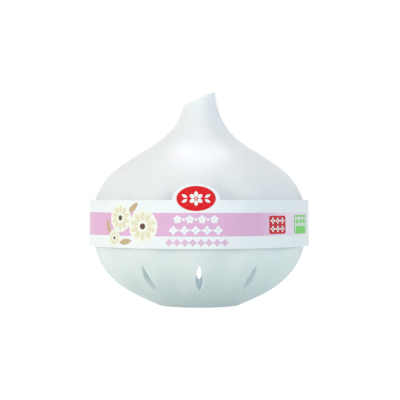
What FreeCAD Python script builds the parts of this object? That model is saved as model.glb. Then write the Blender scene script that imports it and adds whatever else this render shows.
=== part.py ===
# Garlic keeper: a bowl and a lid shaped like a garlic bulb, closed by a wrapped card sleeve.
# Lengths are in millimetres and angles in degrees. The origin is the middle of the foot, +Z is up,
# the sleeve's tab faces -Y, and the high side of the cut stem is at +X.
import FreeCAD, Part
import math
import os

# Bulb
CREST_RADIUS = 62.2          # over the lobe crests, at the parting line
BOWL_DEPTH = 45.8            # foot to parting line
WALL = 2.0
FOOT_RADIUS = 23.0
FOOT_SLOPE = 22.9            # of the bowl above the foot, from level
FOOT_SWEEP = 15.2            # how far the foot's slope carries into the bowl's curve
BOWL_SWEEP = 31.7            # how far the upright wall carries down into it
SHOULDER_SWEEP = 25.5        # how far the upright wall carries up into the lid's curve
NECK_RADIUS = 40.7           # where the lid's curve turns from convex to hollow
NECK_RISE = 37.4             # the same place, above the parting line
NECK_SLOPE = 34.5            # of the lid there, from level
NECK_SWEEP_DOWN = 6.6
NECK_SWEEP_UP = 18.8

# Stem
STEM_RADIUS = 8.3
STEM_RISE = 73.8             # middle of the oblique cut, above the parting line
STEM_CUT_SLOPE = 24.0
STEM_SWEEP = 29.0            # how far the upright stem carries down into the neck's curve
STEM_LEAN = 0.75             # sideways, towards +X
LEAN_START = 46.0            # above the parting line
LEAN_RISE = 16.0             # height over which the stem comes to lean
STEM_ROUND = 0.9             # round on the edge of the cut

# Lobes
LOBES = 12
LOBE_DEPTH = 2.8             # crest to valley, where the arcs of two lobes would meet
LOBE_ARC_SHARE = 0.9         # share of each lobe that is its own arc, the rest blends the valley
LOBE_FOOT_FADE = 15.0        # height above the foot at which the lobes are full
LOBE_LID_START = 12.0        # above the parting line, where the lobes start to fade
LOBE_LID_FADE = 26.0

# Lap joint: the bowl's lip stands inside the lid's skirt
LIP_HEIGHT = 5.0
LIP_PLAY = 0.15              # between lip and skirt
LIP_TOP_PLAY = 0.25
LIP_CHAMFER = 0.3            # leads the skirt on
PARTING_CHAMFER = 0.2        # on both outer edges, so that the line reads as a fine groove

# Foot
FOOT_RING = 4.0              # width of the ring that the bowl stands on
FOOT_RECESS = 0.8
GATE_RADIUS = 1.6
GATE_DEPTH = 0.3

# Vent slots: three at the front and three at the back, drawn straight up in the mould
SLOTS_PER_SIDE = 3
SLOT_PITCH = 32.7
SLOT_FOOT = 9.5              # height of the lower point on the outside
SLOT_HEAD = 25.2
SLOT_WIDTH = 4.1
SLOT_TIP_ROUND = 0.3
SLOT_CHAMFER = 0.3           # on the outside

# Card sleeve
CARD = 0.4
SLEEVE_PLAY = 0.3            # to the crests, at the tab's top where the sleeve is narrowest
SLEEVE_TAPER = 0.015         # radius gained for each millimetre downwards
SLEEVE_DROP = 11.3           # lower edge, below the parting line
SLEEVE_WIDTH = 26.1
TAB_RISE = 9.1
TAB_HALF_WIDTH = 12.8
TAB_OFFSET = -1.6
OVERLAP = 14.0               # length of the glued overlap at the back
JOGGLE = 4.0                 # length over which the outer end steps out over the inner one
GLUE = 0.1
GLUE_MARGIN = 1.5

SECTIONS = 9                 # lofted through, in each skin
ARC_STEPS = (-1.0, -0.5, 0.0, 0.5, 1.0)

PARTING = BOWL_DEPTH
STEM_TOP = PARTING + STEM_RISE
STEM_END = STEM_TOP + STEM_RADIUS
SLEEVE_FOOT = PARTING - SLEEVE_DROP
SLEEVE_HEAD = SLEEVE_FOOT + SLEEVE_WIDTH
TAB_TOP = SLEEVE_HEAD + TAB_RISE
TURN = 360.0
BACK = TURN / 2.0            # azimuth of the sleeve's overlap
LOBE_PITCH = TURN / LOBES
CLEAR = 10.0                 # how far a cutting tool reaches past what it cuts
TOUCH = 0.001                # two heights closer than this are one
HALVINGS = 50                # steps of the search for a place on the profile


def polar(radius, azimuth, height=0.0):
    """The point at a radius and an azimuth, counted from the front towards +X."""
    angle = math.radians(azimuth)
    return FreeCAD.Vector(radius * math.sin(angle), -radius * math.cos(angle), height)


def smooth(share):
    """Eases from 0 to 1."""
    share = min(max(share, 0.0), 1.0)
    return share * share * (3.0 - 2.0 * share)


def bezier(*poles):
    """A curve in the XZ plane, from (radius, height) poles."""
    curve = Part.BezierCurve()
    curve.setPoles([FreeCAD.Vector(radius, 0.0, height) for radius, height in poles])
    return curve


def step(start, length, slope):
    """The (radius, height) a length away from the start, outwards and up at a slope."""
    angle = math.radians(slope)
    return start[0] + length * math.cos(angle), start[1] + length * math.sin(angle)


def bulb_profile():
    """The outside of the bulb over a crest, as three curves from the foot to the stem."""
    foot = (FOOT_RADIUS, 0.0)
    side = (CREST_RADIUS, PARTING)
    neck = (NECK_RADIUS, PARTING + NECK_RISE)
    stem = (STEM_RADIUS, STEM_END)
    bowl = bezier(
        foot,
        step(foot, FOOT_SWEEP, FOOT_SLOPE),
        (CREST_RADIUS, PARTING - BOWL_SWEEP),
        side,
    )
    shoulder = bezier(
        side,
        (CREST_RADIUS, PARTING + SHOULDER_SWEEP),
        step(neck, NECK_SWEEP_DOWN, -NECK_SLOPE),
        neck,
    )
    hollow = bezier(
        neck,
        step(neck, -NECK_SWEEP_UP, -NECK_SLOPE),
        (STEM_RADIUS, STEM_END - STEM_SWEEP),
        stem,
    )
    return [bowl, shoulder, hollow]


PROFILE = bulb_profile()
AT_FOOT, AT_PARTING, AT_NECK, AT_STEM = range(len(PROFILE) + 1)    # places along the profile


def profile_point(place, inset):
    """Radius and height a depth into the wall, and the height outside, at a place on the profile."""
    span = min(int(place), len(PROFILE) - 1)
    outside = PROFILE[span].value(place - span)
    along = PROFILE[span].tangent(place - span)[0]
    return outside.x - inset * along.z, outside.z + inset * along.x, outside.z


def place_at(height, inset):
    """Where on the profile the surface a depth into the wall reaches a height."""
    low, high = AT_FOOT, AT_STEM
    for _ in range(HALVINGS):
        middle = (low + high) / 2.0
        if profile_point(middle, inset)[1] < height:
            low = middle
        else:
            high = middle
    return low


def lobe_depth(height):
    """Full round the middle of the bulb, and nothing at the foot and the neck."""
    rise = smooth(height / LOBE_FOOT_FADE)
    fall = smooth((height - PARTING - LOBE_LID_START) / LOBE_LID_FADE)
    return LOBE_DEPTH * rise * (1.0 - fall)


def lobed_outline(place, inset):
    """The plan of the bulb at one height: lobes of one arc each, blended in the valleys."""
    radius, height, outside = profile_point(place, inset)
    depth = lobe_depth(outside)
    valley = radius - depth
    half = math.radians(LOBE_PITCH / 2.0)
    offset = (radius**2 - valley**2) / (2.0 * (radius - valley * math.cos(half)))
    lean = STEM_LEAN * smooth((height - PARTING - LEAN_START) / LEAN_RISE)
    points, turns = [], []
    for lobe in range(LOBES):
        for share in ARC_STEPS:
            turn = share * LOBE_ARC_SHARE * LOBE_PITCH / 2.0
            turns.append(LOBE_PITCH * lobe + turn)
            angle = math.radians(turn)
            reach = math.sqrt((radius - offset) ** 2 - (offset * math.sin(angle)) ** 2)
            reach += offset * math.cos(angle)
            point = polar(reach, BACK + turns[-1], height)
            points.append(point + FreeCAD.Vector(lean, 0.0, 0.0))
    curve = Part.BSplineCurve()
    knots = [(turn - turns[0]) / TURN for turn in turns] + [1.0]
    curve.interpolate(Points=points, PeriodicFlag=True, Parameters=knots)
    return Part.Wire([curve.toShape()])


def lobed_solid(low, high, inset):
    """The solid inside the surface that lies a depth into the bulb's wall, between two places."""
    places = [low + (high - low) * i / (SECTIONS - 1) for i in range(SECTIONS)]
    return Part.makeLoft([lobed_outline(place, inset) for place in places], True)


def bevel(low, low_inset, high, high_inset):
    """The sloping rim between two outlines, which lie at the ends of a bevelled edge."""
    outlines = [
        lobed_outline(place_at(low, low_inset), low_inset),
        lobed_outline(place_at(high, high_inset), high_inset),
    ]
    return Part.makeLoft(outlines, True)


def above_cut(drop):
    """All that lies over the stem's oblique cut, or over the plane a wall below it."""
    size = 4.0 * CREST_RADIUS
    block = Part.makeBox(size, size, size, FreeCAD.Vector(-size / 2.0, -size / 2.0, 0.0))
    block.rotate(FreeCAD.Vector(), FreeCAD.Vector(0, -1, 0), STEM_CUT_SLOPE)
    fall = drop / math.cos(math.radians(STEM_CUT_SLOPE))
    block.translate(FreeCAD.Vector(STEM_LEAN, 0.0, STEM_TOP - fall))
    return block


def level_edges(shape, height):
    """The edges that lie flat at one height, the longest first."""
    level = [edge for edge in shape.Edges if edge.BoundBox.ZLength < TOUCH]
    flat = [edge for edge in level if abs(edge.BoundBox.ZMin - height) < TOUCH]
    return sorted(flat, key=lambda edge: -edge.Length)


def slot_rims(shape):
    """The outer edges of the vent slots, in a bulb that isn't hollow yet."""
    low, high = SLOT_FOOT - WALL, SLOT_HEAD + WALL
    return [edge for edge in shape.Edges if low < edge.BoundBox.ZMin < edge.BoundBox.ZMax < high]


def bowl():
    """Lower moulding: lobed bowl with a lip for the lid, vent slots and a foot ring."""
    edge_foot = PARTING - PARTING_CHAMFER
    body = lobed_solid(AT_FOOT, place_at(edge_foot, 0.0), 0.0)
    body = body.fuse(bevel(edge_foot, 0.0, PARTING, PARTING_CHAMFER))
    body = body.cut([vent_slot(azimuth) for azimuth in slot_azimuths()])
    body = body.makeChamfer(SLOT_CHAMFER, slot_rims(body))

    lip_inset = (WALL + LIP_PLAY) / 2.0
    lip_top = PARTING + LIP_HEIGHT
    lip = lobed_solid(place_at(PARTING - WALL, lip_inset), place_at(lip_top, lip_inset), lip_inset)
    lip = lip.makeChamfer(LIP_CHAMFER, level_edges(lip, lip_top)[:1])

    inside = lobed_solid(AT_FOOT, place_at(lip_top + CLEAR, WALL), WALL)
    inside = inside.cut(Part.makeCylinder(CREST_RADIUS, WALL + FOOT_RECESS))
    recess = Part.makeCylinder(FOOT_RADIUS - FOOT_RING, FOOT_RECESS)
    gate = Part.makeCylinder(GATE_RADIUS, FOOT_RECESS + GATE_DEPTH)
    return body.fuse(lip).cut([inside, recess, gate])


def slot_azimuths():
    """The front slots, spread about the front, and the same again at the back."""
    spread = [SLOT_PITCH * (i - (SLOTS_PER_SIDE - 1) / 2.0) for i in range(SLOTS_PER_SIDE)]
    return spread + [BACK + azimuth for azimuth in spread]


def vent_slot(azimuth):
    """An upright prism with a lens for a plan, its points slightly rounded."""
    near = profile_point(place_at(SLOT_FOOT, 0.0), 0.0)[0]
    far = profile_point(place_at(SLOT_HEAD, 0.0), 0.0)[0]
    middle = (near + far) / 2.0
    left = Part.Arc(
        FreeCAD.Vector(near, 0, 0),
        FreeCAD.Vector(middle, SLOT_WIDTH / 2.0, 0),
        FreeCAD.Vector(far, 0, 0),
    )
    right = Part.Arc(
        FreeCAD.Vector(far, 0, 0),
        FreeCAD.Vector(middle, -SLOT_WIDTH / 2.0, 0),
        FreeCAD.Vector(near, 0, 0),
    )
    lens = Part.Face(Part.Wire([left.toShape(), right.toShape()]))
    prism = lens.extrude(FreeCAD.Vector(0, 0, PARTING - LIP_HEIGHT))
    tips = [edge for edge in prism.Edges if edge.BoundBox.DiagonalLength - edge.BoundBox.ZLength < TOUCH]
    prism = prism.makeFillet(SLOT_TIP_ROUND, tips)
    prism.rotate(FreeCAD.Vector(), FreeCAD.Vector(0, 0, 1), azimuth - 90.0)
    return prism


def lid():
    """Upper moulding: lobed dome drawn up into a hollow stem, with a skirt over the bowl's lip."""
    skirt_inset = (WALL - LIP_PLAY) / 2.0
    skirt_top = PARTING + LIP_HEIGHT + LIP_TOP_PLAY
    edge_head = PARTING + PARTING_CHAMFER
    shoulder = lobed_solid(place_at(edge_head, 0.0), AT_NECK, 0.0)
    stem = lobed_solid(AT_NECK, AT_STEM, 0.0)
    rim = bevel(PARTING, PARTING_CHAMFER, edge_head, 0.0)
    dome = shoulder.fuse([stem, rim]).cut(above_cut(0.0))
    cut_edges = [edge for edge in dome.Edges if edge.BoundBox.ZMin > STEM_TOP - STEM_RADIUS]
    dome = dome.makeFillet(STEM_ROUND, cut_edges)

    neck = place_at(PROFILE[1].EndPoint.z, WALL)
    shoulder_core = lobed_solid(place_at(skirt_top, WALL), neck, WALL)
    stem_core = lobed_solid(neck, place_at(STEM_END - WALL, WALL), WALL)
    core = shoulder_core.fuse(stem_core).cut(above_cut(WALL))
    seat = lobed_solid(place_at(PARTING, skirt_inset), place_at(skirt_top, skirt_inset), skirt_inset)
    return dome.cut(core).cut(seat)


def sleeve_radius(height):
    """Inside radius of the card at a height."""
    return CREST_RADIUS + SLEEVE_PLAY + SLEEVE_TAPER * (TAB_TOP - height)


def arc(radius, start, end, height):
    """A level arc about the axis."""
    middle = (start + end) / 2.0
    ends = [polar(radius, azimuth, height) for azimuth in (start, middle, end)]
    return Part.Arc(*ends).toShape()


def line(start, end):
    """A straight edge."""
    return Part.LineSegment(start, end).toShape()


def strip_outline(height):
    """Plan of the card strip, whose outer end steps out and lies over its inner end at the back."""
    inner = sleeve_radius(height)
    outer = inner + CARD
    over_inner = outer + GLUE
    over_outer = over_inner + CARD
    half = math.degrees(OVERLAP / 2.0 / CREST_RADIUS)
    start = BACK - half
    round_end = start + TURN
    over_end = BACK + TURN + half
    rise = round_end - math.degrees(JOGGLE / CREST_RADIUS)
    return Part.Wire(
        [
            arc(inner, start, rise, height),
            line(polar(inner, rise, height), polar(over_inner, round_end, height)),
            arc(over_inner, round_end, over_end, height),
            line(polar(over_inner, over_end, height), polar(over_outer, over_end, height)),
            arc(over_outer, over_end, round_end, height),
            line(polar(over_outer, round_end, height), polar(outer, rise, height)),
            arc(outer, rise, start, height),
            line(polar(outer, start, height), polar(inner, start, height)),
        ]
    )


def sleeve():
    """One card strip round the parting line, with a die-cut tab that stands up at the front."""
    strip = Part.makeLoft([strip_outline(SLEEVE_FOOT), strip_outline(TAB_TOP)], True, True)
    size = 4.0 * CREST_RADIUS
    corner = FreeCAD.Vector(-size / 2.0, -size / 2.0, SLEEVE_HEAD)
    waste = Part.makeBox(size, size, TAB_RISE + CLEAR, corner)
    ellipse = Part.Ellipse(FreeCAD.Vector(), TAB_HALF_WIDTH, TAB_RISE).toShape()
    tab = Part.Face(Part.Wire([ellipse])).extrude(FreeCAD.Vector(0, 0, size))
    tab.rotate(FreeCAD.Vector(), FreeCAD.Vector(1, 0, 0), 90.0)
    tab.translate(FreeCAD.Vector(TAB_OFFSET, 0.0, SLEEVE_HEAD))
    return strip.cut(waste.cut(tab))


def glue_outline(height):
    """Plan of the glue between the strip's ends."""
    inner = sleeve_radius(height) + CARD
    outer = inner + GLUE
    half = math.degrees((OVERLAP / 2.0 - GLUE_MARGIN) / CREST_RADIUS)
    start, end = BACK - half, BACK + half
    return Part.Wire(
        [
            arc(inner, start, end, height),
            line(polar(inner, end, height), polar(outer, end, height)),
            arc(outer, end, start, height),
            line(polar(outer, start, height), polar(inner, start, height)),
        ]
    )


def sleeve_glue():
    """The film of glue that closes the strip into a ring."""
    low = SLEEVE_FOOT + GLUE_MARGIN
    high = SLEEVE_HEAD - GLUE_MARGIN
    return Part.makeLoft([glue_outline(low), glue_outline(high)], True, True)


os.makedirs("parts", exist_ok=True)
for make in (bowl, lid, sleeve, sleeve_glue):
    make().exportStep("parts/" + make.__name__ + ".step")
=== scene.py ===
"""Looks of a bulb-shaped garlic keeper: glossy lobed mouldings in a printed card sleeve."""

import logging
import math
from abc import ABC, abstractmethod
from collections.abc import Callable
from dataclasses import dataclass
from enum import Enum

import bmesh
import bpy
from mathutils import Matrix, Vector


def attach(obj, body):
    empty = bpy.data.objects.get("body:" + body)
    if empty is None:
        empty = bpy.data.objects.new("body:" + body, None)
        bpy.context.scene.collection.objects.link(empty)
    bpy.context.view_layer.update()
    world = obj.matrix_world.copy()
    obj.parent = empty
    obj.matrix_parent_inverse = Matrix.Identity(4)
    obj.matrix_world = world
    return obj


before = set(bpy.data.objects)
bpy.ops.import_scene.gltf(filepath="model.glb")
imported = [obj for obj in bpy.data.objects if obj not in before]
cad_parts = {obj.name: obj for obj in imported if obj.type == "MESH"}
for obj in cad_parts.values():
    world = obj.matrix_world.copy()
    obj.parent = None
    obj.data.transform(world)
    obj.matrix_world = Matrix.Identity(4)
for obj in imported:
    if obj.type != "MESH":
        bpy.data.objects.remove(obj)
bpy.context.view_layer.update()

Colour = tuple[float, float, float]
Place = tuple[float, float, float]
Spot = tuple[float, float, float]
Range = tuple[float, float]
Socket = bpy.types.NodeSocket

LOG = logging.getLogger("garlic_keeper")
MM = 0.001
PURE_WHITE: Colour = (1.0, 1.0, 1.0)


class Ink(Enum):
    """The inks of the sleeve's print, as linear colours."""

    WHITE = (0.84, 0.84, 0.855)
    PINK = (0.75, 0.427, 0.645)
    PALE_PINK = (0.88, 0.70, 0.80)
    MAUVE = (0.74, 0.46, 0.66)
    RED = (0.72, 0.006, 0.012)
    BRICK = (0.60, 0.035, 0.045)
    GREEN = (0.24, 0.66, 0.17)
    IVORY = (0.86, 0.84, 0.77)
    CREAM = (0.78, 0.69, 0.52)
    TAN = (0.56, 0.40, 0.24)
    BROWN = (0.13, 0.07, 0.05)


class Layer(Enum):
    """How high a printed shape lies over the card, counted in films of ink."""

    GROUND = 0
    SHAPE = 1
    DETAIL = 2
    TOP = 3


class Nodes:
    """The node tree of a new material or world, with short ways to add nodes and join them."""

    MIDDLE_HALF: Range = (0.25, 0.75)

    def __init__(self, owner: bpy.types.Material | bpy.types.World) -> None:
        """Empties the owner's tree.

        Args:
            owner: the material or world whose tree is built.
        """
        owner.use_nodes = True
        self.tree = owner.node_tree
        self.tree.nodes.clear()

    def add(
        self, kind: str, inputs: dict[str | int, object] | None = None, **settings: object
    ) -> bpy.types.Node:
        """Adds a node.

        Args:
            kind: the node's type, such as ShaderNodeMath.
            inputs: values or sockets for its inputs, by name or index.
            settings: its other properties.

        Returns:
            The node.
        """
        node = self.tree.nodes.new(kind)
        for name, value in settings.items():
            setattr(node, name, value)
        for key, value in (inputs or {}).items():
            if isinstance(value, Socket):
                self.tree.links.new(value, node.inputs[key])
            else:
                node.inputs[key].default_value = value
        return node

    def math(self, operation: str, *values: object) -> Socket:
        """The result of a Math node on numbers or sockets."""
        return self.add("ShaderNodeMath", dict(enumerate(values)), operation=operation).outputs[0]

    def object_point(self) -> Socket:
        """The point in the object's own coordinates, in metres."""
        return self.add("ShaderNodeTexCoord").outputs["Object"]

    def noise(self, vector: Socket, scale: float, detail: float = 2.0) -> Socket:
        """A cloud pattern from 0 to 1.

        Args:
            vector: the point that it is read at.
            scale: clouds for each unit of the vector.
            detail: octaves of finer clouds.

        Returns:
            The pattern's value socket.
        """
        inputs = {"Vector": vector, "Scale": scale, "Detail": detail}
        return self.add("ShaderNodeTexNoise", inputs).outputs["Fac"]

    def spread(self, value: Socket, low: float = 0.0, high: float = 1.0) -> Socket:
        """A pattern's middle half, stretched to run softly between two values.

        Args:
            value: the pattern.
            low: the value at the start of its middle half.
            high: the value at the end of its middle half.

        Returns:
            The stretched pattern's socket.
        """
        first, last = self.MIDDLE_HALF
        inputs = {"Value": value, "From Min": first, "From Max": last}
        inputs |= {"To Min": low, "To Max": high}
        ranged = self.add("ShaderNodeMapRange", inputs, interpolation_type="SMOOTHSTEP")
        return ranged.outputs["Result"]

    def mix(self, share: object, first: object, second: object) -> Socket:
        """A colour between two colours, by a share from 0 to 1."""
        inputs = {"Factor": share, 6: first, 7: second}
        return self.add("ShaderNodeMix", inputs, data_type="RGBA").outputs[2]

    def bump(self, height: Socket, depth: float, below: Socket | None = None) -> Socket:
        """A normal roughened by a height pattern.

        Args:
            height: the pattern, from 0 to 1.
            depth: the relief of the pattern, in metres.
            below: the normal of a coarser relief that this one lies on.

        Returns:
            The normal socket.
        """
        inputs = {"Height": height, "Distance": depth}
        if below is not None:
            inputs["Normal"] = below
        return self.add("ShaderNodeBump", inputs).outputs["Normal"]

    def azimuth(self, point: Socket) -> Socket:
        """The angle round the keeper's axis.

        Args:
            point: where it is read.

        Returns:
            The angle's socket, in radians, 0 at the front and growing towards +X.
        """
        split = self.add("ShaderNodeSeparateXYZ", {0: point})
        forwards = self.math("MULTIPLY", split.outputs["Y"], -1.0)
        return self.math("ARCTAN2", split.outputs["X"], forwards)

    def blend(self, share: object, first: bpy.types.Node, second: bpy.types.Node) -> bpy.types.Node:
        """A shader between two shaders, by a share from 0 to 1."""
        inputs = {0: share, 1: first.outputs[0], 2: second.outputs[0]}
        return self.add("ShaderNodeMixShader", inputs)

    def surface(self, shader: bpy.types.Node) -> None:
        """Makes a shader the material's surface."""
        self.add("ShaderNodeOutputMaterial", {"Surface": shader.outputs[0]})


def rgba(colour: Colour) -> tuple[float, float, float, float]:
    """An opaque colour for a colour socket."""
    return (*colour, 1.0)


@dataclass(frozen=True)
class MouldedPlastic:
    """Glossy white polypropylene, whose thin wall lets some of the light through.

    From outside, the share called entering goes into the wall, and from inside, the share called
    leaving comes out.
    """

    name: str
    white: Colour = (0.960, 0.940, 0.905)
    shade: Colour = (0.950, 0.932, 0.897)
    through: Colour = (0.88, 0.93, 0.99)
    entering: float = 0.30
    leaving: float = 1.0
    roughness: Range = (0.29, 0.34)
    ior: float = 1.49
    flow_lines: float = 9.0
    flow_detail: float = 4.0
    flow_share: float = 0.5
    cloud_scale: float = 20.0
    cloud_detail: float = 3.0
    peel_scale: float = 420.0
    peel_depth: float = 0.004 * MM
    grain_scale: float = 2600.0
    grain_depth: float = 0.0015 * MM

    def flow(self, nodes: Nodes, point: Socket) -> Socket:
        """Lines that run up the wall from the gate.

        Args:
            nodes: the material's nodes.
            point: where the pattern is read.

        Returns:
            The pattern's socket, from 0 to 1.
        """
        height = nodes.add("ShaderNodeSeparateXYZ", {0: point}).outputs["Z"]
        turn = nodes.math("MULTIPLY", nodes.azimuth(point), self.flow_lines)
        rise = nodes.math("MULTIPLY", height, self.flow_lines)
        along = nodes.add("ShaderNodeCombineXYZ", {"X": turn, "Y": rise})
        return nodes.noise(along.outputs[0], 1.0, self.flow_detail)

    def material(self) -> bpy.types.Material:
        """Makes the finish.

        Returns:
            A material with faint flow lines, clouded gloss and a fine orange-peel relief.
        """
        made = bpy.data.materials.new(self.name)
        nodes = Nodes(made)
        point = nodes.object_point()
        flow = nodes.math("MULTIPLY", self.flow(nodes, point), self.flow_share)
        clouds = nodes.noise(point, self.cloud_scale, self.cloud_detail)
        cloud = nodes.math("MULTIPLY", clouds, 1.0 - self.flow_share)
        tint = nodes.spread(nodes.math("ADD", flow, cloud))
        colour = nodes.mix(tint, rgba(self.shade), rgba(self.white))
        peel = nodes.bump(nodes.noise(point, self.peel_scale), self.peel_depth)
        grain = nodes.bump(nodes.noise(point, self.grain_scale), self.grain_depth, peel)
        shader = nodes.add(
            "ShaderNodeBsdfPrincipled",
            {
                "Base Color": colour,
                "Roughness": nodes.spread(clouds, *self.roughness),
                "Normal": grain,
                "IOR": self.ior,
            },
        )
        look = {"Color": rgba(self.through), "Normal": grain}
        inner = nodes.add("ShaderNodeBsdfTranslucent", look)
        behind = nodes.add("ShaderNodeNewGeometry").outputs["Backfacing"]
        shares = {"Value": behind, "To Min": self.entering, "To Max": self.leaving}
        share = nodes.add("ShaderNodeMapRange", shares).outputs[0]
        nodes.surface(nodes.blend(share, shader, inner))
        return made


@dataclass(frozen=True)
class CoatedCard:
    """White card with a thin clay coat: matt fibres under a soft sheen."""

    name: str
    white: Colour = (0.835, 0.835, 0.855)
    shade: Colour = (0.805, 0.805, 0.825)
    roughness: Range = (0.42, 0.52)
    fibre_scale: float = 900.0
    fibre_detail: float = 5.0
    fibre_depth: float = 0.012 * MM
    mottle_scale: float = 60.0
    mottle_detail: float = 3.0
    coat: float = 0.25
    coat_roughness: float = 0.3

    def material(self) -> bpy.types.Material:
        """Makes the finish.

        Returns:
            A mottled white material with a relief of short fibres.
        """
        made = bpy.data.materials.new(self.name)
        nodes = Nodes(made)
        point = nodes.object_point()
        fibres = nodes.noise(point, self.fibre_scale, self.fibre_detail)
        mottle = nodes.spread(nodes.noise(point, self.mottle_scale, self.mottle_detail))
        shader = nodes.add(
            "ShaderNodeBsdfPrincipled",
            {
                "Base Color": nodes.mix(mottle, rgba(self.shade), rgba(self.white)),
                "Roughness": nodes.spread(fibres, *self.roughness),
                "Normal": nodes.bump(fibres, self.fibre_depth),
                "Coat Weight": self.coat,
                "Coat Roughness": self.coat_roughness,
            },
        )
        nodes.surface(shader)
        return made


@dataclass(frozen=True)
class SeamGlue:
    """Dried cream glue, patchy where it was pressed out."""

    name: str
    thin: Colour = (0.80, 0.77, 0.66)
    thick: Colour = (0.66, 0.60, 0.44)
    roughness: Range = (0.55, 0.75)
    patch_scale: float = 320.0
    patch_detail: float = 4.0
    relief: float = 0.05 * MM

    def material(self) -> bpy.types.Material:
        """Makes the finish.

        Returns:
            A material with patches of two tones and a lumpy relief.
        """
        made = bpy.data.materials.new(self.name)
        nodes = Nodes(made)
        patches = nodes.noise(nodes.object_point(), self.patch_scale, self.patch_detail)
        tone = nodes.spread(patches)
        shader = nodes.add(
            "ShaderNodeBsdfPrincipled",
            {
                "Base Color": nodes.mix(tone, rgba(self.thin), rgba(self.thick)),
                "Roughness": nodes.spread(patches, *self.roughness),
                "Normal": nodes.bump(patches, self.relief),
            },
        )
        nodes.surface(shader)
        return made


@dataclass(frozen=True)
class PrintedInk:
    """A film of offset ink on coated card, with the card's mottle showing through."""

    ink: Ink
    paler: float = 0.02
    mottle_scale: float = 700.0
    mottle_detail: float = 4.0
    roughness: Range = (0.5, 0.6)
    specular: float = 0.1
    relief: float = 0.006 * MM

    def colours(self) -> tuple[Colour, Colour]:
        """The full ink and the thinner ink over the card's white."""
        thin = tuple(part + (1.0 - part) * self.paler for part in self.ink.value)
        return self.ink.value, thin

    def mottle(self, nodes: Nodes, point: Socket) -> Socket:
        """The card's mottle at a point, from 0 to 1."""
        return nodes.noise(point, self.mottle_scale, self.mottle_detail)

    def shade(self, nodes: Nodes, point: Socket) -> Socket:
        """The ink's colour at a point.

        Args:
            nodes: the material's nodes.
            point: where the colour is read.

        Returns:
            The colour socket.
        """
        full, thin = self.colours()
        return nodes.mix(nodes.spread(self.mottle(nodes, point)), rgba(full), rgba(thin))

    def material(self) -> bpy.types.Material:
        """Makes the finish, once for each ink.

        Returns:
            The ink's material.
        """
        name = "ink_" + self.ink.name.lower()
        if name in bpy.data.materials:
            return bpy.data.materials[name]
        made = bpy.data.materials.new(name)
        self.build(Nodes(made), self.shade)
        return made

    def build(self, nodes: Nodes, shade: Callable[[Nodes, Socket], Socket]) -> None:
        """Builds the surface.

        Args:
            nodes: the material's nodes.
            shade: gives the colour socket for a point.
        """
        point = nodes.object_point()
        grain = self.mottle(nodes, point)
        shader = nodes.add(
            "ShaderNodeBsdfPrincipled",
            {
                "Base Color": shade(nodes, point),
                "Roughness": nodes.spread(grain, *self.roughness),
                "Normal": nodes.bump(grain, self.relief),
                "Specular IOR Level": self.specular,
            },
        )
        nodes.surface(shader)


@dataclass(frozen=True)
class StripeInk(PrintedInk):
    """Pink ink whose tone changes round the sleeve, by azimuths in degrees.

    It is white at both ends, full between two azimuths and pale between two more.
    """

    ink: Ink = Ink.PINK
    pale: Ink = Ink.PALE_PINK
    bare: Ink = Ink.WHITE
    start: float = -130.0
    full_from: float = -66.0
    full_to: float = 31.0
    pale_from: float = 50.0
    pale_to: float = 56.0
    end: float = 76.0

    def tone(self, nodes: Nodes, point: Socket) -> Socket:
        """The stripe's colour at a point, by its azimuth.

        Args:
            nodes: the material's nodes.
            point: where the colour is read.

        Returns:
            The colour socket.
        """
        degrees = nodes.math("DEGREES", nodes.azimuth(point))
        span = {"Value": degrees, "From Min": self.start, "From Max": self.end}
        share = nodes.add("ShaderNodeMapRange", span).outputs["Result"]
        ramp = nodes.add("ShaderNodeValToRGB", {"Fac": share})
        stops = [
            (self.start, self.bare),
            (self.full_from, self.ink),
            (self.full_to, self.ink),
            (self.pale_from, self.pale),
            (self.pale_to, self.pale),
            (self.end, self.bare),
        ]
        elements = ramp.color_ramp.elements
        elements[0].position, elements[1].position = 0.0, 1.0
        for azimuth, _ in stops[1:-1]:
            elements.new((azimuth - self.start) / (self.end - self.start))
        for element, (_, ink) in zip(elements, stops):
            element.color = rgba(ink.value)
        mottle = nodes.spread(self.mottle(nodes, point), 0.0, self.paler)
        return nodes.mix(mottle, ramp.outputs["Color"], rgba(self.bare.value))

    def material(self) -> bpy.types.Material:
        """Makes the stripe's finish.

        Returns:
            The stripe's material.
        """
        made = bpy.data.materials.new("ink_stripe")
        self.build(Nodes(made), self.tone)
        return made


@dataclass(frozen=True)
class Cone:
    """The outside of the card ring, on which the print lies.

    The taper is the radius that it loses for each metre of height above its foot.
    """

    foot: float
    foot_radius: float
    taper: float

    @classmethod
    def of_node(cls, node: bpy.types.Object) -> "Cone":
        """Reads the cone from the front half of the sleeve.

        Args:
            node: the sleeve's CAD node.

        Returns:
            The cone through the outside of its lowest and highest points.
        """
        front = [vertex.co for vertex in node.data.vertices if vertex.co.y < 0.0]
        low = min(point.z for point in front)
        high = max(point.z for point in front)
        edge = 0.05 * MM
        foot_radius = max(point.xy.length for point in front if point.z < low + edge)
        head_radius = max(point.xy.length for point in front if point.z > high - edge)
        return cls(low, foot_radius, (foot_radius - head_radius) / (high - low))

    def place(self, flat: Vector) -> Vector:
        """Where a point of the flat print comes to lie.

        Args:
            flat: its length along the card from the front, its depth behind the card's face, and
                its height.

        Returns:
            The point on the cone.
        """
        radius = self.foot_radius - self.taper * (flat.z - self.foot) - flat.y
        turn = flat.x / self.foot_radius
        return Vector((radius * math.sin(turn), -radius * math.cos(turn), flat.z))

    def along(self, azimuth: float) -> float:
        """The length along the card from the front to an azimuth in degrees."""
        return math.radians(azimuth) * self.foot_radius


@dataclass(frozen=True)
class Bloom:
    """The sizes of a flower, whose petals run from the core's radius out to the reach."""

    petals: int
    reach: float
    width: float
    core: float

    def scaled(self, size: float) -> "Bloom":
        """The same flower with its lengths multiplied."""
        return Bloom(self.petals, size * self.reach, size * self.width, size * self.core)


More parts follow.
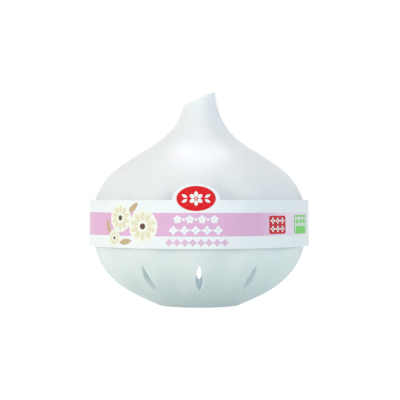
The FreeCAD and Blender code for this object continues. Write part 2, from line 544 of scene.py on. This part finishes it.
class Shape:
    """A printed shape, drawn flat in XZ, cut into narrow strips and wrapped round the card.

    FILM is the thickness of its ink, GAP the room below each layer and STRIP the width of a strip.
    A cut takes points within NEAR as on its plane, and mirrored halves are joined within WELD. The
    corners of a scalloped edge are rounded by BULGE_ROUNDING radii, shared among its bulges.
    """

    FILM = 0.008 * MM
    GAP = 0.004 * MM
    STRIP = 1.5 * MM
    NEAR = 1e-9
    WELD = 1e-7
    CORNER_SEGMENTS = 5
    LEAF_SEGMENTS = 96
    BULGE_SEGMENTS = 3
    BULGE_ROUNDING = 1.3

    def __init__(self, name: str, layer: Layer) -> None:
        """Starts an empty drawing.

        Args:
            name: the finished piece's name.
            layer: how high it lies over the card.
        """
        self.name = name
        self.layer = layer
        self.mesh = bmesh.new()

    def stand(self, x: float, z: float, turn: float = 0.0) -> Matrix:
        """The place of a shape drawn in XY.

        Args:
            x: its middle along the card.
            z: its middle's height.
            turn: its turn in degrees, seen from the front.

        Returns:
            The matrix that stands it up, facing -Y, and turns it.
        """
        upright = Matrix.Rotation(math.radians(90.0), 4, "X")
        turned = Matrix.Rotation(math.radians(turn), 4, "Z")
        return Matrix.Translation((x, 0.0, z)) @ upright @ turned

    def sized(self, x: float, z: float, width: float, height: float) -> Matrix:
        """The place of a shape drawn in XY, with a scale along its width and its height."""
        return self.stand(x, z) @ Matrix.Diagonal((width, height, 1.0, 1.0))

    def bevel(
        self, verts: list[bmesh.types.BMVert], offset: float, segments: int
    ) -> dict[str, list]:
        """Rounds corners in the flat.

        Args:
            verts: the corners.
            offset: how far from a corner its rounding starts.
            segments: of each rounding.

        Returns:
            What the operator made, by kind.
        """
        return bmesh.ops.bevel(
            self.mesh,
            geom=verts,
            offset=offset,
            segments=segments,
            profile=0.5,
            affect="VERTICES",
            material=-1,
        )

    def oval(self, x: float, z: float, width: float, height: float, segments: int) -> None:
        """Adds a filled oval.

        Args:
            x: its middle along the card.
            z: its middle's height.
            width: its whole width.
            height: its whole height.
            segments: of its edge.
        """
        matrix = self.sized(x, z, width / 2.0, height / 2.0)
        bmesh.ops.create_circle(
            self.mesh, cap_ends=True, segments=segments, radius=1.0, matrix=matrix
        )

    def scallop(
        self, x: float, z: float, width: float, height: float, waves: int, depth: float
    ) -> None:
        """Adds a filled oval with a wavy edge.

        Args:
            x: its middle along the card.
            z: its middle's height.
            width: its whole width.
            height: its whole height.
            waves: bulges round the edge.
            depth: of a notch between them, as a share of the size.
        """
        circle = bmesh.ops.create_circle(self.mesh, cap_ends=True, segments=2 * waves, radius=1.0)
        notches = circle["verts"][1::2]
        bmesh.ops.scale(self.mesh, verts=notches, vec=(1.0 - depth, 1.0 - depth, 1.0))
        rounded = self.bevel(circle["verts"], self.BULGE_ROUNDING / waves, self.BULGE_SEGMENTS)
        cornered = {vertex for face in rounded["faces"] for vertex in face.verts}
        edge = list(cornered | set(rounded["verts"]))
        matrix = self.sized(x, z, width / 2.0, height / 2.0)
        bmesh.ops.transform(self.mesh, verts=edge, matrix=matrix)

    def bar(self, x: float, z: float, width: float, height: float, corner: float = 0.0) -> None:
        """Adds a filled rectangle.

        Args:
            x: its middle along the card.
            z: its middle's height.
            width: its whole width.
            height: its whole height.
            corner: the radius of its corners.
        """
        matrix = self.sized(x, z, width, height)
        grid = bmesh.ops.create_grid(self.mesh, x_segments=1, y_segments=1, size=0.5, matrix=matrix)
        if corner:
            self.bevel(grid["verts"], corner, self.CORNER_SEGMENTS)

    def border(
        self, x: float, z: float, width: float, height: float, corner: float, line: float
    ) -> None:
        """Adds a rounded rectangle's outline.

        Args:
            x: its middle along the card.
            z: its middle's height.
            width: its whole width.
            height: its whole height.
            corner: the radius of its corners.
            line: the width of the line.
        """
        before = set(self.mesh.faces)
        self.bar(x, z, width, height, corner)
        inner = [face for face in self.mesh.faces if face not in before]
        bmesh.ops.inset_region(
            self.mesh, faces=inner, thickness=line, use_boundary=True, use_even_offset=True
        )
        bmesh.ops.delete(self.mesh, geom=inner, context="FACES")

    def leaf(
        self, x: float, z: float, length: float, width: float, turn: float
    ) -> list[bmesh.types.BMFace]:
        """Adds a filled lens with pointed ends.

        Args:
            x: its middle along the card.
            z: its middle's height.
            length: from point to point.
            width: across its middle.
            turn: of its length from level, in degrees.

        Returns:
            Its faces.
        """
        before = set(self.mesh.faces)
        radius = (length**2 + width**2) / (4.0 * width)
        sunk = Matrix.Translation((0.0, width / 2.0 - radius, 0.0))
        disc = bmesh.ops.create_circle(
            self.mesh, cap_ends=True, segments=self.LEAF_SEGMENTS, radius=radius, matrix=sunk
        )
        faces = list({face for vertex in disc["verts"] for face in vertex.link_faces})
        geom = disc["verts"] + list({edge for face in faces for edge in face.edges}) + faces
        bmesh.ops.bisect_plane(
            self.mesh,
            geom=geom,
            plane_co=(0, 0, 0),
            plane_no=(0, 1, 0),
            clear_inner=True,
            dist=self.NEAR,
        )
        half = [face for face in self.mesh.faces if face not in before]
        geom = list({vertex for face in half for vertex in face.verts}) + half
        bmesh.ops.mirror(self.mesh, geom=geom, axis="Y", merge_dist=self.WELD)
        whole = [face for face in self.mesh.faces if face not in before]
        bmesh.ops.recalc_face_normals(self.mesh, faces=whole)
        verts = list({vertex for face in whole for vertex in face.verts})
        bmesh.ops.transform(self.mesh, verts=verts, matrix=self.stand(x, z, turn))
        return whole

    def flower(self, x: float, z: float, bloom: Bloom) -> None:
        """Adds petals round a middle that is left open.

        Args:
            x: its middle along the card.
            z: its middle's height.
            bloom: its sizes.
        """
        rise = (bloom.reach + bloom.core) / 2.0
        petal = self.leaf(x, z + rise, bloom.reach - bloom.core, bloom.width, 90.0)
        geom = list({vertex for face in petal for vertex in face.verts}) + petal
        bmesh.ops.spin(
            self.mesh,
            geom=geom,
            cent=(x, 0.0, z),
            axis=(0.0, 1.0, 0.0),
            angle=2.0 * math.pi * (bloom.petals - 1) / bloom.petals,
            steps=bloom.petals - 1,
            use_duplicate=True,
        )

    def wrap(self, cone: Cone, material: bpy.types.Material) -> bpy.types.Object:
        """Finishes the piece: strips, thickness, and the turn round the card.

        Args:
            cone: the card's outside.
            material: its ink.

        Returns:
            The piece, which rides with the sleeve.
        """
        left = min(vertex.co.x for vertex in self.mesh.verts)
        right = max(vertex.co.x for vertex in self.mesh.verts)
        for strip in range(math.ceil(left / self.STRIP), math.floor(right / self.STRIP) + 1):
            geom = self.mesh.verts[:] + self.mesh.edges[:] + self.mesh.faces[:]
            bmesh.ops.bisect_plane(
                self.mesh,
                geom=geom,
                plane_co=(strip * self.STRIP, 0, 0),
                plane_no=(1, 0, 0),
                dist=self.NEAR,
            )
        bmesh.ops.solidify(self.mesh, geom=self.mesh.faces[:], thickness=self.FILM)
        lift = (self.layer.value + 1) * (self.FILM + self.GAP)
        back = min(vertex.co.y for vertex in self.mesh.verts)
        for vertex in self.mesh.verts:
            vertex.co = cone.place(vertex.co - Vector((0.0, back + lift, 0.0)))
        bmesh.ops.recalc_face_normals(self.mesh, faces=self.mesh.faces[:])
        data = bpy.data.meshes.new(self.name)
        self.mesh.to_mesh(data)
        self.mesh.free()
        data.materials.append(material)
        piece = bpy.data.objects.new(self.name, data)
        bpy.context.scene.collection.objects.link(piece)
        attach(piece, "sleeve")
        return piece


@dataclass
class Pot:
    """The two plastic mouldings."""

    bowl_finish: MouldedPlastic = MouldedPlastic("bowl_plastic")
    lid_finish: MouldedPlastic = MouldedPlastic("lid_plastic")

    def dress(self) -> list[bpy.types.Object]:
        """Gives both mouldings their finish.

        Returns:
            The two mouldings.
        """
        bowl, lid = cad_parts["bowl"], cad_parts["lid"]
        paint(bowl, self.bowl_finish.material())
        paint(lid, self.lid_finish.material())
        return [bowl, lid]


class Motif(ABC):
    """A part of the sleeve's print."""

    @abstractmethod
    def build(self, cone: Cone) -> list[bpy.types.Object]:
        """Prints the motif.

        Args:
            cone: the card's outside.

        Returns:
            Its pieces.
        """


@dataclass(frozen=True)
class Stripe(Motif):
    """The pink stripe along the middle of the card."""

    ink: StripeInk = StripeInk()
    foot: float = 41.2 * MM
    head: float = 53.7 * MM

    def build(self, cone: Cone) -> list[bpy.types.Object]:
        """Prints the stripe.

        Args:
            cone: the card's outside.

        Returns:
            Its one piece.
        """
        start, end = cone.along(self.ink.start), cone.along(self.ink.end)
        middle = (self.foot + self.head) / 2.0
        shape = Shape("print_stripe", Layer.GROUND)
        shape.bar((start + end) / 2.0, middle, end - start, self.head - self.foot)
        return [shape.wrap(cone, self.ink.material())]


@dataclass(frozen=True)
class Seal(Motif):
    """A red oval seal on the tab, with a white flower between two sprigs of two leaves."""

    x: float = -1.6 * MM
    z: float = 61.4 * MM
    width: float = 21.2 * MM
    height: float = 13.4 * MM
    edge_segments: int = 96
    bloom: Bloom = Bloom(6, 3.9 * MM, 2.1 * MM, 0.9 * MM)
    heart: float = 1.0 * MM
    heart_segments: int = 24
    leaf_length: float = 3.4 * MM
    leaf_width: float = 1.5 * MM
    leaf_turn: float = 28.0
    sprig_reach: float = 6.2 * MM
    sprig_rise: float = 1.3 * MM

    def build(self, cone: Cone) -> list[bpy.types.Object]:
        """Prints the seal.

        Args:
            cone: the card's outside.

        Returns:
            The red oval and the white flower.
        """
        red = Shape("print_seal", Layer.GROUND)
        red.oval(self.x, self.z, self.width, self.height, self.edge_segments)
        flower = Shape("print_seal_flower", Layer.SHAPE)
        flower.flower(self.x, self.z, self.bloom)
        flower.oval(self.x, self.z, self.heart, self.heart, self.heart_segments)
        for side in (-1.0, 1.0):
            for lean in (-1.0, 1.0):
                x, z = self.x + side * self.sprig_reach, self.z + lean * self.sprig_rise
                turn = side * lean * self.leaf_turn
                flower.leaf(x, z, self.leaf_length, self.leaf_width, turn)
        return [
            red.wrap(cone, PrintedInk(Ink.RED).material()),
            flower.wrap(cone, PrintedInk(Ink.WHITE).material()),
        ]


@dataclass(frozen=True)
class FlowerRow(Motif):
    """A row of flowers with a dot between each two.

    The width is the whole row's and the height a flower's, so a petal reaches half of it. Its width
    and its start are shares of that height too, and a dot is a share of the gap that it lies in.
    """

    name: str
    ink: Ink
    x: float
    z: float
    width: float
    height: float
    count: int
    petals: int
    petal_width: float = 0.40
    petal_start: float = 0.05
    dot: float = 0.8
    dot_segments: int = 20

    def build(self, cone: Cone) -> list[bpy.types.Object]:
        """Prints the row.

        Args:
            cone: the card's outside.

        Returns:
            Its one piece.
        """
        shape = Shape(self.name, Layer.SHAPE)
        bloom = Bloom(self.petals, 0.5, self.petal_width, self.petal_start).scaled(self.height)
        pitch = (self.width - self.height) / (self.count - 1)
        dot = self.dot * (pitch - self.height)
        for index in range(self.count):
            middle = self.x + (index - (self.count - 1) / 2.0) * pitch
            shape.flower(middle, self.z, bloom)
            if index:
                shape.oval(middle - pitch / 2.0, self.z, dot, dot, self.dot_segments)
        return [shape.wrap(cone, PrintedInk(self.ink).material())]


@dataclass(frozen=True)
class Rosettes(Motif):
    """Three ivory rosettes among tan leaves, at the left.

    Each rosette is given by its x, z and radius, and its bloom and heart are shares of the radius.
    Each leaf is given by its x, z and turn in degrees.
    """

    rosettes: tuple[Spot, ...] = (
        (-31.8 * MM, 46.4 * MM, 9.3 * MM),
        (-47.3 * MM, 50.9 * MM, 8.0 * MM),
        (-52.0 * MM, 39.9 * MM, 4.9 * MM),
    )
    bulges: int = 16
    notch: float = 0.06
    bloom: Bloom = Bloom(10, 0.86, 0.3, 0.3)
    heart: float = 0.36
    heart_segments: int = 24
    leaves: tuple[Spot, ...] = (
        (-43.4 * MM, 38.0 * MM, 8.0),
        (-38.2 * MM, 56.2 * MM, 42.0),
        (-57.4 * MM, 46.2 * MM, 112.0),
    )
    leaf_length: float = 9.0 * MM
    leaf_width: float = 3.2 * MM

    def build(self, cone: Cone) -> list[bpy.types.Object]:
        """Prints the rosettes and their leaves.

        Args:
            cone: the card's outside.

        Returns:
            The rosettes' grounds, petals and hearts, and the leaves.
        """
        grounds = Shape("print_rosettes", Layer.DETAIL)
        petals = Shape("print_petals", Layer.TOP)
        hearts = Shape("print_hearts", Layer.TOP)
        for x, z, radius in self.rosettes:
            grounds.scallop(x, z, 2.0 * radius, 2.0 * radius, self.bulges, self.notch)
            petals.flower(x, z, self.bloom.scaled(radius))
            hearts.oval(x, z, self.heart * radius, self.heart * radius, self.heart_segments)
        leaves = Shape("print_leaves", Layer.SHAPE)
        for x, z, turn in self.leaves:
            leaves.leaf(x, z, self.leaf_length, self.leaf_width, turn)
        return [
            grounds.wrap(cone, PrintedInk(Ink.IVORY).material()),
            petals.wrap(cone, PrintedInk(Ink.CREAM).material()),
            hearts.wrap(cone, PrintedInk(Ink.BROWN).material()),
            leaves.wrap(cone, PrintedInk(Ink.TAN).material()),
        ]


@dataclass(frozen=True)
class RedBadge(Motif):
    """A brick-red badge with two rows of three white flowers."""

    azimuth: float = 42.7
    z: float = 47.1 * MM
    width: float = 12.8 * MM
    height: float = 9.9 * MM
    corner: float = 1.1 * MM
    bloom: Bloom = Bloom(4, 1.8 * MM, 1.1 * MM, 0.3 * MM)
    bloom_pitch: float = 3.7 * MM
    row_rise: float = 2.2 * MM

    def build(self, cone: Cone) -> list[bpy.types.Object]:
        """Prints the badge.

        Args:
            cone: the card's outside.

        Returns:
            The badge and its flowers.
        """
        middle = cone.along(self.azimuth)
        brick = Shape("print_red_badge", Layer.SHAPE)
        brick.bar(middle, self.z, self.width, self.height, self.corner)
        dots = Shape("print_red_badge_dots", Layer.DETAIL)
        for row in (-1.0, 1.0):
            for column in (-1.0, 0.0, 1.0):
                x, z = middle + column * self.bloom_pitch, self.z + row * self.row_rise
                dots.flower(x, z, self.bloom)
        return [
            brick.wrap(cone, PrintedInk(Ink.BRICK).material()),
            dots.wrap(cone, PrintedInk(Ink.WHITE).material()),
        ]


@dataclass(frozen=True)
class GreenBadge(Motif):
    """A green-edged badge with a row of three flowers over a bar."""

    azimuth: float = 64.0
    z: float = 47.1 * MM
    width: float = 17.4 * MM
    height: float = 10.4 * MM
    corner: float = 1.6 * MM
    line: float = 1.1 * MM
    bar_drop: float = 2.5 * MM
    bar_width: float = 14.0 * MM
    bar_height: float = 3.2 * MM
    bar_corner: float = 0.8 * MM
    bloom: Bloom = Bloom(4, 2.1 * MM, 1.6 * MM, 0.1 * MM)
    bloom_pitch: float = 4.8 * MM
    bloom_rise: float = 1.7 * MM

    def build(self, cone: Cone) -> list[bpy.types.Object]:
        """Prints the badge.

        Args:
            cone: the card's outside.

        Returns:
            The badge's edge, and the bar with its flowers.
        """
        middle = cone.along(self.azimuth)
        edge = Shape("print_green_badge", Layer.SHAPE)
        edge.border(middle, self.z, self.width, self.height, self.corner, self.line)
        sprig = Shape("print_green_sprig", Layer.SHAPE)
        bar_z = self.z - self.bar_drop
        sprig.bar(middle, bar_z, self.bar_width, self.bar_height, self.bar_corner)
        for column in (-1.0, 0.0, 1.0):
            x = middle + column * self.bloom_pitch
            sprig.flower(x, self.z + self.bloom_rise, self.bloom)
        green = PrintedInk(Ink.GREEN).material()
        return [edge.wrap(cone, green), sprig.wrap(cone, green)]


@dataclass
class Sleeve:
    """The card ring, its seam and its print. Heights are in metres above the foot."""

    card: CoatedCard = CoatedCard("sleeve_card_white")
    glue: SeamGlue = SeamGlue("seam_glue_cream")
    motifs: tuple[Motif, ...] = (
        Stripe(),
        Seal(),
        FlowerRow("print_upper_border", Ink.WHITE, -1.7 * MM, 50.2 * MM, 24.4 * MM, 4.6 * MM, 4, 5),
        FlowerRow("print_lower_border", Ink.WHITE, -1.8 * MM, 44.4 * MM, 29.0 * MM, 4.8 * MM, 5, 4),
        FlowerRow("print_foot_border", Ink.MAUVE, -1.15 * MM, 37.8 * MM, 34.0 * MM, 3.8 * MM, 8, 4),
        Rosettes(),
        RedBadge(),
        GreenBadge(),
    )

    def dress(self) -> list[bpy.types.Object]:
        """Gives the card and the seam their finish.

        Returns:
            The card and the seam's glue.
        """
        card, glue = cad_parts["sleeve"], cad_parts["sleeve_glue"]
        paint(card, self.card.material())
        paint(glue, self.glue.material())
        return [card, glue]

    def build(self) -> list[bpy.types.Object]:
        """Makes the whole print, and returns its pieces."""
        cone = Cone.of_node(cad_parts["sleeve"])
        return [piece for motif in self.motifs for piece in motif.build(cone)]


@dataclass(frozen=True)
class SoftBox:
    """A large soft lamp that points at the keeper.

    A lamp that stays out of the gloss lights the keeper and has no mirror image in its shine.
    """

    name: str
    place: Place
    size: float
    power: float
    colour: Colour
    in_gloss: bool = True

    def build(self, aim: Vector) -> None:
        """Adds the lamp.

        Args:
            aim: the point that it faces.
        """
        lamp = bpy.data.lights.new(self.name, "AREA")
        lamp.shape = "DISK"
        lamp.size = self.size
        lamp.energy = self.power
        lamp.color = self.colour
        holder = bpy.data.objects.new(self.name, lamp)
        holder.location = self.place
        holder.rotation_euler = (aim - Vector(self.place)).to_track_quat("-Z", "Y").to_euler()
        holder.visible_glossy = self.in_gloss
        bpy.context.scene.collection.objects.link(holder)


@dataclass
class Studio:
    """Camera, pale floor, white surroundings and soft lamps.

    Where the floor is seen, it glows white, and shadow_share is how far it takes the keeper's
    shadow. What it throws back on the keeper is tinted by floor_bounce.
    """

    camera_place: Place = (0.0005, -0.764, 0.0606)
    lens: float = 118.6
    floor_size: float = 12.0
    floor_bounce: Colour = (0.66, 0.84, 0.75)
    floor_glow: float = 1.28
    shadow_share: float = 0.3
    sky: Colour = (0.96, 0.97, 1.0)
    sky_strength: float = 0.37
    lamps: tuple[SoftBox, ...] = (
        SoftBox("left_lamp", (-0.88, -0.58, 0.20), 0.5, 5.4, (1.0, 0.96, 0.91), in_gloss=False),
        SoftBox("front_lamp", (0.10, -1.10, 0.12), 0.5, 1.0, (1.0, 0.98, 0.97)),
        SoftBox("edge_lamp", (-0.95, -0.10, 0.05), 0.4, 0.7, (1.0, 1.0, 0.97)),
        SoftBox("right_lamp", (0.66, -0.78, 0.32), 0.5, 3.9, (0.80, 0.88, 1.0), in_gloss=False),
        SoftBox("top_lamp", (0.0, 0.0, 1.0), 0.6, 2.0, (1.0, 0.95, 0.94)),
        SoftBox("shoulder_lamp", (0.0, 0.55, 0.90), 0.5, 2.6, (1.0, 0.96, 1.0)),
        SoftBox("back_lamp", (0.0, 0.95, 0.08), 0.5, 7.0, (0.68, 0.82, 1.0), in_gloss=False),
    )

    def build(self) -> None:
        """Builds everything round the keeper."""
        self.camera()
        self.surroundings()
        self.floor()
        for lamp in self.lamps:
            lamp.build(Vector((0.0, 0.0, self.camera_place[2])))
        bpy.context.scene.view_settings.view_transform = "Standard"

    def camera(self) -> None:
        """A level camera in front of the keeper."""
        data = bpy.data.cameras.new("camera")
        data.lens = self.lens
        holder = bpy.data.objects.new("camera", data)
        holder.location = self.camera_place
        holder.rotation_euler = (math.radians(90.0), 0.0, 0.0)
        bpy.context.scene.collection.objects.link(holder)
        bpy.context.scene.camera = holder

    def seen(self, nodes: Nodes) -> Socket:
        """Tells what is seen from what only gives light.

        Args:
            nodes: the nodes of the floor or the world.

        Returns:
            A socket, 1 for what is seen directly, in a gloss or through glass, and 0 for light on
            the keeper.
        """
        path = nodes.add("ShaderNodeLightPath").outputs
        looks = nodes.math("MAXIMUM", path["Is Camera Ray"], path["Is Glossy Ray"])
        clear = nodes.math("SUBTRACT", path["Is Transmission Ray"], path["Is Diffuse Ray"])
        return nodes.math("MAXIMUM", looks, clear)

    def surroundings(self) -> None:
        """White where it is seen, and an even sky where it lights the keeper."""
        world = bpy.data.worlds.new("surroundings")
        bpy.context.scene.world = world
        nodes = Nodes(world)
        sky = {"Color": rgba(self.sky), "Strength": self.sky_strength}
        light = nodes.add("ShaderNodeBackground", sky)
        white = nodes.add("ShaderNodeBackground", {"Color": rgba(PURE_WHITE), "Strength": 1.0})
        mixed = nodes.blend(self.seen(nodes), light, white)
        nodes.add("ShaderNodeOutputWorld", {"Surface": mixed.outputs[0]})

    def floor(self) -> None:
        """A floor that looks white, keeps the keeper's shadow and throws back little light."""
        mesh = bmesh.new()
        bmesh.ops.create_grid(mesh, x_segments=1, y_segments=1, size=self.floor_size / 2.0)
        data = bpy.data.meshes.new("floor")
        mesh.to_mesh(data)
        mesh.free()
        made = bpy.data.materials.new("pale_floor")
        nodes = Nodes(made)
        white = nodes.add("ShaderNodeBsdfDiffuse", {"Color": rgba(PURE_WHITE)})
        shine = {"Color": rgba(PURE_WHITE), "Strength": self.floor_glow}
        glow = nodes.add("ShaderNodeEmission", shine)
        looks = nodes.blend(self.shadow_share, glow, white)
        bounce = nodes.add("ShaderNodeBsdfDiffuse", {"Color": rgba(self.floor_bounce)})
        nodes.surface(nodes.blend(self.seen(nodes), bounce, looks))
        data.materials.append(made)
        piece = bpy.data.objects.new("floor", data)
        bpy.context.scene.collection.objects.link(piece)


def paint(node: bpy.types.Object, material: bpy.types.Material) -> None:
    """Gives a CAD node a finish in place of its plain one."""
    for index in range(len(node.material_slots)):
        node.material_slots[index].material = material


def main() -> None:
    """Builds the studio and the keeper, and reports each piece."""
    logging.basicConfig(level=logging.INFO, format="%(name)s: %(message)s")
    Studio().build()
    sleeve = Sleeve()
    for piece in [*Pot().dress(), *sleeve.dress(), *sleeve.build()]:
        LOG.info("%s has %d faces", piece.name, len(piece.data.polygons))


if __name__ == "__main__":
    main()
